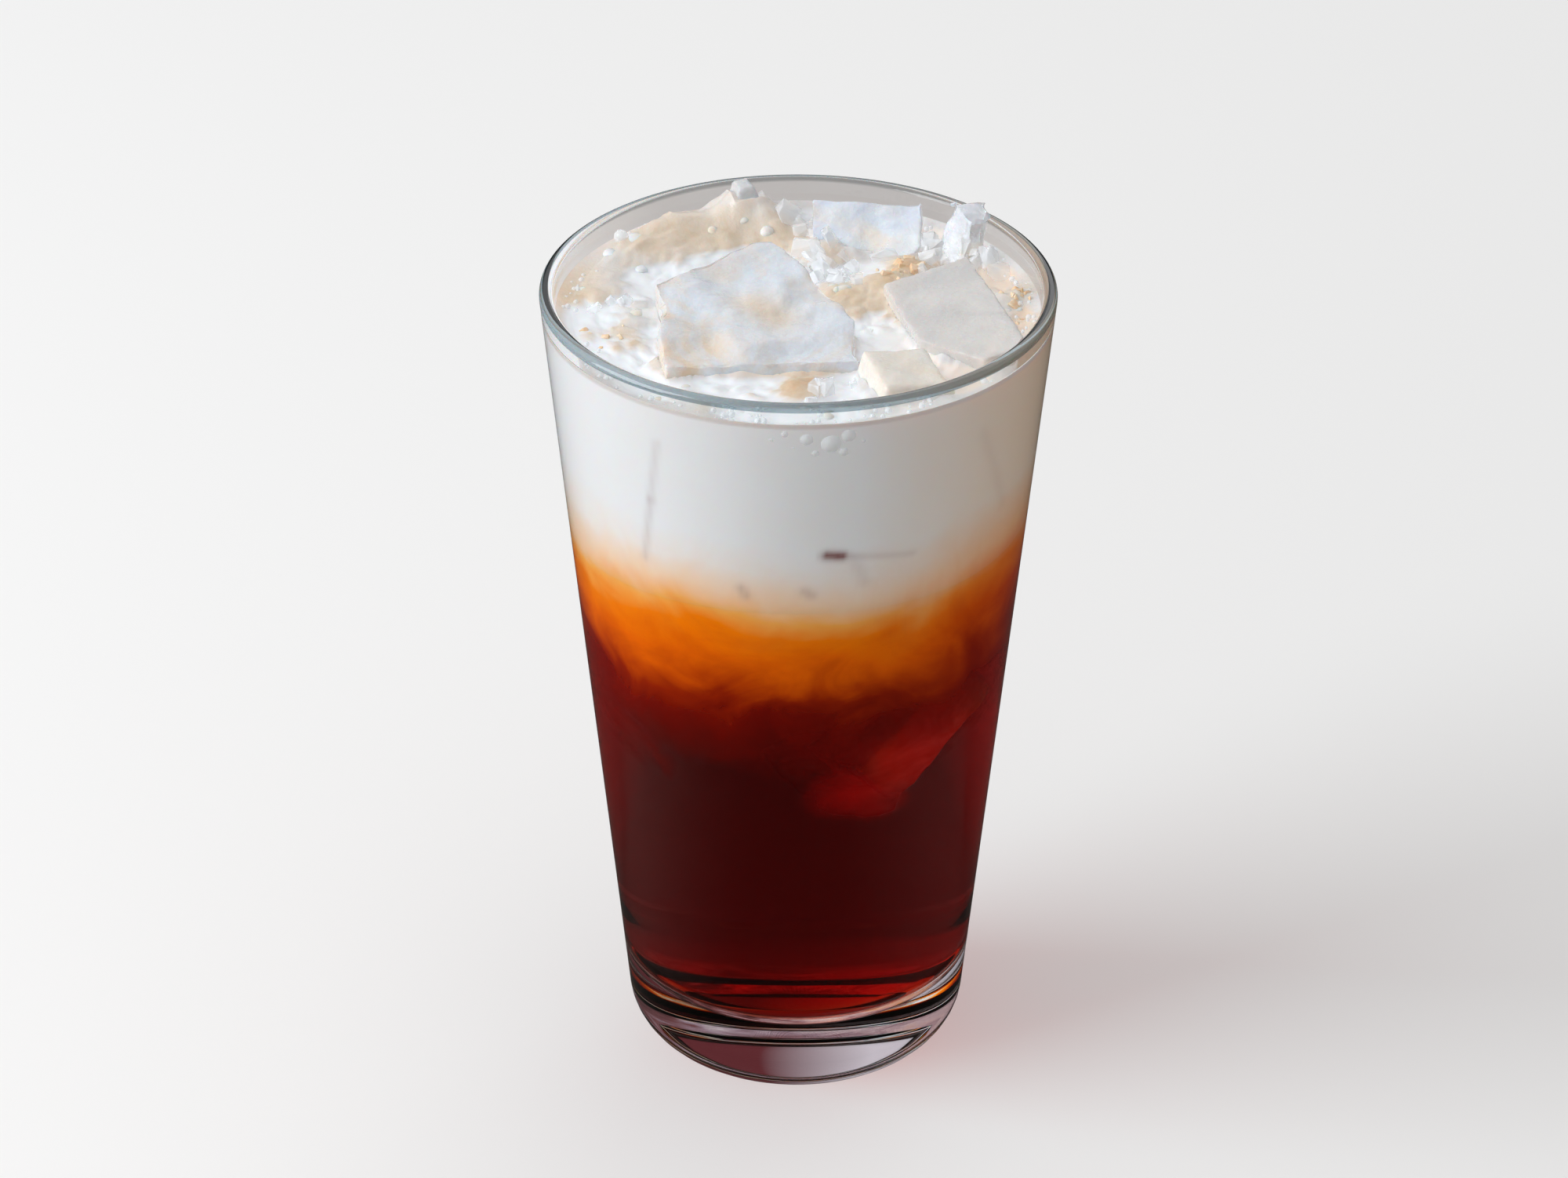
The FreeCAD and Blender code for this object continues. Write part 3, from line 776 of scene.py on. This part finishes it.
def crushed(x, y):
    """Height of crushed ice and foam above the level at a point, all in millimetres.

    Cells of 4 and 2 mm give the lumps, and noise of 11 and 6 mm makes them uneven.
    """
    near = noise.voronoi(Vector((x / 4.2, y / 4.2, 3)), distance_metric="DISTANCE")[0]
    small = noise.voronoi(Vector((x / 1.9, y / 1.9, 9)), distance_metric="DISTANCE")[0]
    lumps = 1.3 * (near[1] - near[0]) + 0.45 * (small[1] - small[0])
    broken = 0.5 + 0.5 * noise.noise(Vector((x / 11, y / 11, 5)))
    soft = 0.8 * noise.noise(Vector((x / 6, y / 6, 1)))
    return heaped(MOUNDS, x, y) - 1.0 + soft + lumps * (0.25 + broken)


print("the foam's back peak stands", round(crushed(-9, 34.5), 1), "mm over the level")

# %% [markdown]
# ## The shape of the milk
# The milk fills the glass down to the cloud. Its top could be displaced by a modifier,
# but the blocks matter too: each point is lifted by the crushed ice and foam, climbs a
# little where a block stands close by, and settles to the meniscus at the wall.

# %% Spin the milk and break up its top
CLIMB = 1.3
CLIMB_REACH = 1.1 * MM
EDGE_REACH = 3 * MM
bm = turned([(0, MILK_UNDERSIDE), (bore(MILK_UNDERSIDE) + WALL_TOUCH, MILK_UNDERSIDE),
             (bore(CONTACT) + WALL_TOUCH, CONTACT),
             (bore(CONTACT) - MENISCUS_REACH, LEVEL), (0, LEVEL)], {})
top = [e for e in bm.edges if all(v.co.z > LEVEL - 1e-6 for v in e.verts)
       and abs(e.verts[0].co.xy.length - e.verts[1].co.xy.length) > 5 * MM]
bmesh.ops.subdivide_edges(bm, edges=top, cuts=110, use_grid_fill=True)
bmesh.ops.subdivide_edges(bm, edges=wall_edges(bm, 5 * MM), cuts=70, use_grid_fill=True)
peach = bm.verts.layers.float.new("peach")
mark = bm.verts.layers.float.new("mark")
for vert in bm.verts:
    x, y, z = vert.co
    room = bore(CONTACT) - vert.co.xy.length
    vert[peach] = heaped(PEACH_STAINS_AND_GAP_SHADE, x / MM, y / MM)
    vert[mark] = marked(x / MM, y / MM, z / MM) if y < 0 else 0
    if z > LEVEL - 1e-6 and room > 0.1 * MM:
        near = min(skin.find_nearest(vert.co)[3] or 1 for skin in ice_skins.values())
        climb = CLIMB * math.exp(-near / CLIMB_REACH)
        vert.co.z += min(1, room / EDGE_REACH) * (crushed(x / MM, y / MM) + climb) * MM
waved(bm, MILK_UNDERSIDE, CONTACT - 8 * MM, 1.5 * MM, 0.8 * MM)
bmesh.ops.recalc_face_normals(bm, faces=bm.faces[:])
finished(bm, "milk_body", MILK, ["milk"])

# %% [markdown]
# ## Breaking off small pieces
# Between the blocks lie clear splinters and tan crumbs of set foam. Each could be a copy
# of one shape, but copies show, so each is a cube of its own, sliced by a few random
# planes, with worn edges. A fixed seed scatters them the same way each time.

# %% One splinter, and places for many
chance = random.Random(11)


def splinter(bm, place, size, worn):
    """Add one broken crumb of this size: a cube with three slices cut off."""
    made = bmesh.new()
    bmesh.ops.create_cube(made, size=1)
    for turn in range(3):
        way = Vector((chance.uniform(-1, 1), chance.uniform(-1, 1), chance.uniform(-1, 1)))
        way.normalize()
        bmesh.ops.bisect_plane(made, geom=made.verts[:] + made.edges[:] + made.faces[:],
                               plane_co=way * chance.uniform(0.3, 0.5), plane_no=way,
                               clear_outer=True)
        bmesh.ops.holes_fill(made, edges=[e for e in made.edges if e.is_boundary], sides=0)
    bmesh.ops.bevel(made, geom=made.edges[:], offset=worn, segments=2, profile=0.5,
                    affect="EDGES", material=-1, clamp_overlap=True)
    shape = Matrix.Diagonal((1, chance.uniform(0.5, 1), chance.uniform(0.4, 0.9), 1))
    spin = Matrix.Rotation(chance.uniform(0, math.tau), 4, way)
    bmesh.ops.transform(made, verts=made.verts, matrix=(
        Matrix.Translation(place) @ spin @ shape @ Matrix.Scale(size, 4)))
    mesh = bpy.data.meshes.new("one")
    made.to_mesh(mesh)
    made.free()
    bm.from_mesh(mesh)
    bpy.data.meshes.remove(mesh)


def scattered(groups, sunk):
    """Places and sizes, in mm, for groups of x, y, spread, count, least and most size."""
    for x, y, spread, count, least, most in groups:
        for turn in range(count):
            here = Vector((chance.gauss(x, spread), chance.gauss(y, spread), 0))
            size = chance.uniform(least, most)
            room = bore(LEVEL) / MM - 0.7 * size - 0.5
            if here.length > room:
                here *= room / here.length
            here.z = LEVEL / MM + crushed(here.x, here.y) + size * (0.5 - sunk)
            yield here, size


def strewn(name, material, groups, sunk, worn=0.05, smooth=False):
    """Scatter broken crumbs, each sunk by this share of its size."""
    bm = bmesh.new()
    for here, size in scattered(groups, sunk):
        here.z = min(here.z, cad_high.z / MM - size)
        splinter(bm, here * MM, size * MM, worn)
    bmesh.ops.recalc_face_normals(bm, faces=bm.faces[:])
    finished(bm, name, material, smooth=smooth)


print("crumbs stay within", round(bore(LEVEL) / MM, 1), "mm of the axis")

# %% [markdown]
# ## Ice splinters
# Clear broken ice: sharp facets without smoothing, half clear. Fully clear splinters
# would vanish in white milk, and a fine uneven skin keeps each facet from being a mirror.

# %% Scatter the splinters
look = Finish("clear_splinter")
pure = look.node("BsdfPrincipled", Base_Color=(0.93, 0.95, 0.97), Roughness=0.08,
                 IOR=ICE_BEND, Transmission_Weight=0.6,
                 Normal=look.bump(look.noise(900, 3), 0.4, 0.0003))
strewn("ice_splinters", look.clear_surface(pure.outputs[0]), [
    (5, 20, 3, 12, 2, 5), (7, 12, 2.5, 9, 2, 4), (29, 20, 3.5, 26, 2, 5),
    (22.5, 26, 2, 8, 2, 4), (-29, 3, 3, 3, 2, 3), (8, -31, 3, 6, 2, 4),
    (3, 30, 3, 5, 2, 4)], 0.25)

# %% [markdown]
# ## Slush
# Milky lumps of slush melt into the foam. Sliced cubes read as gravel here, so these are
# balls pressed out of round and dented with noise, and they lie deep in the foam.

# %% Scatter the lumps


def blobs(name, material, groups, sunk):
    """Scatter soft lumps, each sunk by this share of its size."""
    bm = bmesh.new()
    for here, size in scattered(groups, sunk):
        lump = bmesh.ops.create_icosphere(bm, subdivisions=3, radius=size / 2 * MM)["verts"]
        stretch = Vector((chance.uniform(0.7, 1.3), chance.uniform(0.7, 1.2),
                          chance.uniform(0.5, 0.9)))
        for vert in lump:
            dent = 1 + 0.35 * noise.noise(vert.co * 420 + here)
            vert.co = vert.co * stretch * dent
        spin = Matrix.Rotation(chance.uniform(0, math.tau), 4, "Z")
        bmesh.ops.transform(bm, verts=lump, matrix=Matrix.Translation(here * MM) @ spin)
    finished(bm, name, material)


look = Finish("milky_lump")
tint = look.ramp(look.noise(160, 4, 0.6), [(0.35, srgb(232, 216, 194)),
                                           (0.6, srgb(228, 231, 234))])
milky = look.node("BsdfPrincipled", Base_Color=tint, Roughness=0.25, IOR=ICE_BEND,
                  Subsurface_Weight=0.3, Subsurface_Scale=0.0015,
                  Normal=look.bump(look.noise(800, 3), 0.4, 0.0003))
blobs("milky_lumps", look.surface(milky.outputs[0]), [
    (-31, 2, 4, 7, 3, 6), (-20, -31, 5, 6, 2, 4), (10, 5, 4, 10, 2, 5),
    (37, 3, 2, 4, 1.5, 3), (-28, 22, 4, 4, 3, 5), (13, -6, 3, 5, 1.5, 3),
    (-8, 30, 4, 5, 3, 5), (8, -32, 4, 4, 1.5, 3)], 0.84)

# %% [markdown]
# ## Crumbs of foam
# Foam that has dried on the ice breaks into tan crumbs. They are splinters with rounder
# edges, smooth shading and a dull finish, mostly sunk in the milk.

# %% Scatter the crumbs
look = Finish("tan_crumb")
tint = look.ramp(look.noise(500, 4, 0.6), [(0.35, srgb(226, 184, 138)),
                                           (0.65, srgb(242, 220, 192))])
tan = look.node("BsdfPrincipled", Base_Color=tint, Roughness=0.45,
                Subsurface_Weight=0.2, Subsurface_Scale=0.001,
                Normal=look.bump(look.noise(1500, 3), 0.4, 0.0002))
strewn("tan_crumbs", look.surface(tan.outputs[0]), [
    (38, 4, 2.5, 16, 0.8, 2), (39, -5, 2, 8, 0.7, 1.6), (-33, -9, 3, 8, 0.8, 2),
    (17, 10, 2.5, 14, 1, 2.8), (19.5, 16, 2.2, 12, 1.2, 2.8)],
    0.75, worn=0.14, smooth=True)

# %% [markdown]
# ## Bubbles
# Foam leaves small bubbles where the milk meets the wall, a cluster of larger ones under
# the front rim and one big one at the back left. Balls of few faces are enough, because
# all but a few are about a millimetre across and there are many.

# %% Bubbles in the foam and at the wall
RING_COUNT = 190
CLUSTER = [(-3, 143.2, 1.0), (2, 142.2, 1.5), (7.5, 141.2, 2.1), (11.5, 142.6, 1.6),
           (10.5, 139.4, 1.2), (-6, 142.0, 0.8), (15, 141.2, 0.8), (4, 139.4, 1.0),
           (-1, 140.6, 0.7), (7, 138.2, 0.6), (18, 142.4, 0.6)]
look = Finish("bubble_film")
film = look.node("BsdfPrincipled", Base_Color=(0.9, 0.93, 0.95), Roughness=0.05,
                 IOR=TEA_BEND, Transmission_Weight=0.5)
BUBBLE = look.clear_surface(film.outputs[0])


def around(turn, out, height):
    """A point at this turn from the front, in radians, and this far from the axis."""
    return Vector((out * math.sin(turn), -out * math.cos(turn), height))


def bubble(bm, place, size):
    """Add one small ball."""
    bmesh.ops.create_icosphere(bm, subdivisions=2, radius=size,
                               matrix=Matrix.Translation(place))


bm = bmesh.new()
for turn in range(RING_COUNT):
    way = chance.uniform(0, math.tau)
    out = bore(CONTACT) - abs(chance.gauss(0, 1.6)) * MM
    size = chance.uniform(0.2, 0.6) * MM
    out -= size + 0.3 * MM
    x, y = out * math.cos(way), out * math.sin(way)
    foam_high = max(0, crushed(x / MM, y / MM)) * 0.5
    bubble(bm, (x, y, LEVEL + (0.15 + foam_high) * MM), size)
for turn, height, size in CLUSTER:
    out = bore(height * MM) - (0.35 * size + 0.2) * MM
    bubble(bm, around(math.radians(turn), out, height * MM), size * MM)
bubble(bm, (-31.0 * MM, 24.2 * MM, LEVEL + 2.2 * MM), 1.3 * MM)
finished(bm, "foam_bubbles", BUBBLE)

# %% [markdown]
# ## Ice sunk in the tea
# Two cloudy blocks have sunk below the milk near the wall at the front right. Through
# that little tea they glow red, brighter where they lie nearer the wall. Solid blocks
# showed hard dark outlines on their far sides, so each point carries a glow that fades
# from the block's middle to its borders, and the finish thins out to nothing with it.

# %% Finish of the sunken ice
look = Finish("cloudy_ice")
cloudy = look.maths("MULTIPLY", look.maths("SUBTRACT", look.noise(70, 3), 0.5), 0.9)
shown = look.ramp(look.maths("ADD", look.painted("glow"), cloudy),
                  [(0.1, 0), (0.4, 0.4), (0.9, 1)])
mist = look.node("BsdfPrincipled", Base_Color=(0.95, 0.95, 0.95), Roughness=0.4,
                 Specular_IOR_Level=0.0)
SUNKEN = look.surface(look.blend(shown, look.nothing(), mist.outputs[0]))
print("finish", SUNKEN.name)

# %% [markdown]
# ## The sunken blocks
# They are cut and melted like the blocks above, only more. For each come its turn from
# the front in degrees, depth behind the wall and height in millimetres, then its size,
# its yaw, pitch and roll, and its brightness.

# %% Sink two blocks
SUNK = [((50, 12.5, 74), (14, 14, 26), (50, 50, 10), 1.0),
        ((26, 17, 64), (20, 15, 15), (20, 34, 30), 0.6)]
SUNK_MELT = 20
GLOW_REACH = 0.6


def sunken(place, size, turns):
    """A block of this size, turned, with its middle at this place."""
    bm = bmesh.new()
    bmesh.ops.create_cube(bm, size=1)
    bmesh.ops.scale(bm, verts=bm.verts, vec=[side * MM for side in size])
    bmesh.ops.transform(bm, verts=bm.verts,
                        matrix=Matrix.Translation(place) @ tilted(*turns))
    return bm


for number, ((turn, depth, height), size, turns, bright) in enumerate(SUNK):
    place = around(math.radians(turn), bore(height * MM) - depth * MM, height * MM)
    bm = remeshed(sunken(place, size, turns), 0.6 * MM)
    melted(bm, SUNK_MELT, 1.0 * MM, number + 11)
    outward = Vector((place.x, place.y, 0)).normalized()
    glow = bm.verts.layers.float.new("glow")
    for vert in bm.verts:
        aside = vert.co - place
        aside -= outward * aside.dot(outward)
        vert[glow] = bright - (aside.length / (GLOW_REACH * max(size) * MM)) ** 2
    finished(bm, f"ice_sunken_{number + 1}", SUNKEN)

# %% [markdown]
# ## The floor
# A plain pale table keeps the shadow and the red light that the tea throws on it. Clear
# and glossy skins would usually be shown the same pale floor. Here that laid a grey veil
# over the tea, since each clear skin mirrors a share of white, and it lit deep tea from
# behind like a lantern. So mirrors see a dark floor, a painted dark reflection. What is seen
# through glass is painted light and shade:
# dark in the middle, a painted shadow behind the glass, and bright at the sides, painted light
# which makes the edges of the tea glow.
# Under the foot it is painted shade, red light and warm highlights, patchy, dark at the left
# and bright at the right, which gives the thick foot its varied bands.

# %% Finish of the floor
look = Finish("pale_table")
x, y = look.axis("X"), look.axis("Y")
flat = look.node("CombineXYZ", X=x, Y=y)
away = look.node("VectorMath", {"operation": "LENGTH"}, Vector=flat.outputs[0])
outside = look.spread(away.outputs["Value"], FOOT_RADIUS - 6 * MM, FOOT_RADIUS + 3 * MM)
across = look.maths("MULTIPLY", look.spread(x, -20 * MM, 8 * MM), 0.35)
# Painted shade, red light and warm highlights under the foot, seen only through glass.
painted_light_under_foot = look.ramp(look.maths("ADD", look.noise(95, 3, 0.6, 1.5), across), [
    (0.46, (0.03, 0.02, 0.02)), (0.60, (0.24, 0.10, 0.11)), (0.72, (0.50, 0.42, 0.50)),
    (0.84, (0.95, 0.97, 1.0)), (1.0, (0.95, 0.66, 0.30))])
# Painted shadow behind the glass and painted light at the sides, seen only through glass.
sideways = look.spread(look.maths("ABSOLUTE", x), 30 * MM, 85 * MM)
behind = look.spread(y, 170 * MM, 250 * MM)
painted_light_beyond = look.mixed(behind, (0.25, 0.24, 0.23), (0.54, 0.50, 0.48))
painted_light_beyond = look.mixed(sideways, painted_light_beyond, (0.97, 0.90, 0.85))
path = look.node("LightPath").outputs
# Mirrors see a painted dark floor.
table = look.mixed(path["Is Glossy Ray"], (0.44, 0.40, 0.36), (0.05, 0.045, 0.04))
table = look.mixed(path["Is Transmission Ray"], table,
                   look.mixed(outside, painted_light_under_foot, painted_light_beyond))
table = look.mixed(path["Is Camera Ray"], table, (0.9, 0.89, 0.87))
pale = look.node("BsdfPrincipled", Roughness=0.6, Base_Color=table, Specular_IOR_Level=0.0)
TABLE = look.surface(pale.outputs[0])
print("finish", TABLE.name)

# %% [markdown]
# ## Laying the floor
# One large flat face is enough.

# %% Lay the floor
FLOOR_HALF = 3
bm = bmesh.new()
bmesh.ops.create_grid(bm, x_segments=1, y_segments=1, size=FLOOR_HALF)
mesh = bpy.data.meshes.new("floor")
bm.to_mesh(mesh)
bm.free()
mesh.materials.append(TABLE)
floor = bpy.data.objects.new("floor", mesh)
bpy.context.scene.collection.objects.link(floor)
print("floor", 2 * FLOOR_HALF, "m wide")

# %% [markdown]
# ## Lamps
# A large soft window at the left and a weaker lamp behind. Hard small lamps would burn
# spots into the glass. They are hidden from what is seen through glass, because a lamp
# seen bent by the tea was a bright red stripe.

# %% Hang the lamps


def lamp(name, place, size, power, colour):
    """A square soft lamp that looks at the middle of the glass."""
    light = bpy.data.lights.new(name, "AREA")
    light.shape = "SQUARE"
    light.size = size
    light.energy = power
    light.color = colour
    holder = bpy.data.objects.new(name, light)
    holder.location = place
    aim = Vector((0, 0, GLASS_HEIGHT / 2)) - Vector(place)
    holder.rotation_euler = aim.to_track_quat("-Z", "Y").to_euler()
    holder.visible_transmission = False
    bpy.context.scene.collection.objects.link(holder)
    print(name, power, "W")


lamp("window", (-1.3, -0.3, 0.8), 1.1, 19, (0.95, 0.97, 1.0))
lamp("back", (0.5, 1.1, 0.9), 1.0, 2.5, WHITE)

# %% [markdown]
# ## The room
# The room's soft light fills the shadows, and the camera sees it as a pale backdrop.
# Mirrors see walls that darken towards the floor, so that clear edges can be read. Rays
# through glass see a dim warm room, paler to the left, for the same reason as the floor:
# a white one put a white crescent in the foot and a veil on the tea.

# %% Light the room
room = Finish("pale_room", "World")
bpy.context.scene.world = room.made
way = room.node("SeparateXYZ", Vector=room.node("TexCoord").outputs["Generated"]).outputs
rightward = room.maths("ADD", room.maths("MULTIPLY", way["X"], 0.5), 0.5)
walls = room.ramp(way["Z"], [(0.12, (0.05, 0.08, 0.09)), (0.42, (0.95, 0.97, 1))])
dim = room.ramp(rightward, [(0.36, (0.62, 0.56, 0.62)), (0.56, (0.12, 0.025, 0.03))])
path = room.node("LightPath").outputs
seen = room.node("Background", Color=(0.97, 0.98, 1.0), Strength=0.6).outputs[0]
for ray, colour, strength in (("Is Glossy Ray", walls, 0.9), ("Is Transmission Ray", dim, 1),
                              ("Is Camera Ray", WHITE, 0.9)):
    other = room.node("Background", Color=colour, Strength=strength)
    seen = room.blend(path[ray], seen, other.outputs[0])
room.surface(seen)
print("room", room.made.name)

# %% [markdown]
# ## Camera
# A long lens from about a metre away and 30 degrees above the table, with a slight tilt
# of the hand. A long lens keeps the glass's taper true.

# %% Set up the camera
LOOKS_DOWN = 29.66
HEADING = 0.143
HAND_TILT = 0.146
camera = bpy.data.objects.new("camera", bpy.data.cameras.new("camera"))
camera.data.lens = 139.9
camera.data.sensor_width = 36
camera.location = (0, -0.9307, 0.6195)
camera.rotation_mode = "XYZ"
look_down = Matrix.Rotation(math.radians(90 - LOOKS_DOWN), 4, "X")
heading = Matrix.Rotation(math.radians(HEADING), 4, "Z")
tilt = Matrix.Rotation(math.radians(HAND_TILT), 4, "Z")
camera.rotation_euler = (heading @ look_down @ tilt).to_euler()
bpy.context.scene.collection.objects.link(camera)
bpy.context.scene.camera = camera
bpy.context.scene.view_settings.view_transform = "Standard"
print("camera", round(camera.location.length, 3), "m from the foot")

# %% [markdown]
